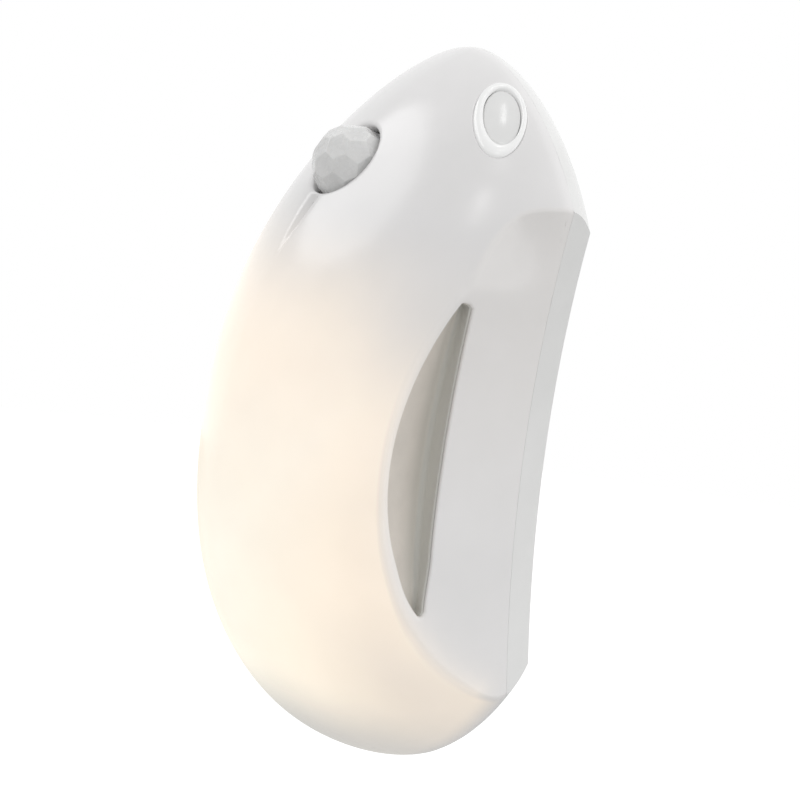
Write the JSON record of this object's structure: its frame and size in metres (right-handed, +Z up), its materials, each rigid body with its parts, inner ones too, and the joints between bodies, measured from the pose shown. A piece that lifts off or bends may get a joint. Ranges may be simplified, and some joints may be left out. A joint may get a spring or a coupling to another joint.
{
  "type": "plug-in night light",
  "caption": "Egg-shaped plug-in night light with a milky front cover, waisted finger-grip cheeks, faceted motion lens, mode button and folding mains plug.",
  "frame": {"origin": "centre of the flat rear face that lies on the wall, halfway up the pod", "axes": "+Z up; -Y the lit front, away from the wall; +Y into the wall; +X to the right seen from the front"},
  "size_m": [0.0676, 0.0376, 0.1072],
  "materials": {
    "milky_cover": "gloss, translucent opal",
    "white_housing": "gloss",
    "grip_taupe": "soft-touch",
    "lens_white": "satin, translucent polyethylene",
    "black_plastic": "matte",
    "sensor_can": "plated",
    "filter_glass": "dark mirror",
    "photocell": "glazed",
    "board_green": "solder mask",
    "board_white": "white solder mask",
    "chip_black": "matte moulding",
    "button_white": "gloss",
    "bezel_white": "high gloss",
    "reflector_white": "diffuse white",
    "lamp": "phosphor",
    "film_box": "moulded case",
    "can_sleeve": "sleeved can",
    "resistor_body": "coated",
    "brass_blade": "nickel-brass, satin",
    "carrier_white": "matte",
    "contact_bronze": "satin phosphor bronze",
    "screw_steel": "zinc plated",
    "lead_sleeve": "PVC insulation"
  },
  "bodies": {
    "housing": {"front_cover": "milky_cover", "rear_housing": "white_housing", "grip_left": "grip_taupe", "grip_right": "grip_taupe", "pir_lens": "lens_white", "lens_holder": "black_plastic", "pir_sensor": "sensor_can", "pir_window": "filter_glass", "light_sensor": "photocell", "sensor_board": "board_green", "sensor_chip": "chip_black", "sensor_screws": "screw_steel", "button_bezel": "bezel_white", "mode_switch": "chip_black", "switch_board": "board_green", "switch_screws": "screw_steel", "reflector": "reflector_white", "led_board": "board_white", "leds": "lamp", "tub_screws": "screw_steel", "main_board": "board_green", "board_screws": "screw_steel", "film_capacitor": "film_box", "smoothing_capacitor": "can_sleeve", "bridge_rectifier": "chip_black", "fuse_resistor": "resistor_body", "voltage_regulator": "chip_black", "plug_contacts": "contact_bronze", "housing_screws": "screw_steel", "lamp_leads": "lead_sleeve", "sensor_leads": "lead_sleeve", "switch_leads": "lead_sleeve"},
    "mode_button": {"mode_button": "button_white"},
    "switch_plunger": {"switch_plunger": "carrier_white"},
    "plug": {"plug_hub": "carrier_white", "blade_left": "brass_blade", "blade_right": "brass_blade"}
  },
  "joints": [
    {"name": "mode_button_slide", "type": "slide", "parent": "housing", "child": "mode_button", "axis": [-0.5, 0, -0.866], "range_m": [0, 0.0008], "stiffness_N_per_m": 900, "springref_m": -0.0004},
    {"name": "switch_plunger_slide", "type": "slide", "parent": "housing", "child": "switch_plunger", "axis": [-0.5, 0, -0.866], "range_m": [0, 0.0008]},
    {"name": "plug_fold", "type": "hinge", "parent": "housing", "child": "plug", "pos_m": [0, -0.0035, 0.008], "axis": [1, 0, 0], "range_deg": [0, 90]}
  ],
  "couplings": [
    {"joint": "switch_plunger_slide", "follows": "mode_button_slide", "ratio": 1}
  ]
}
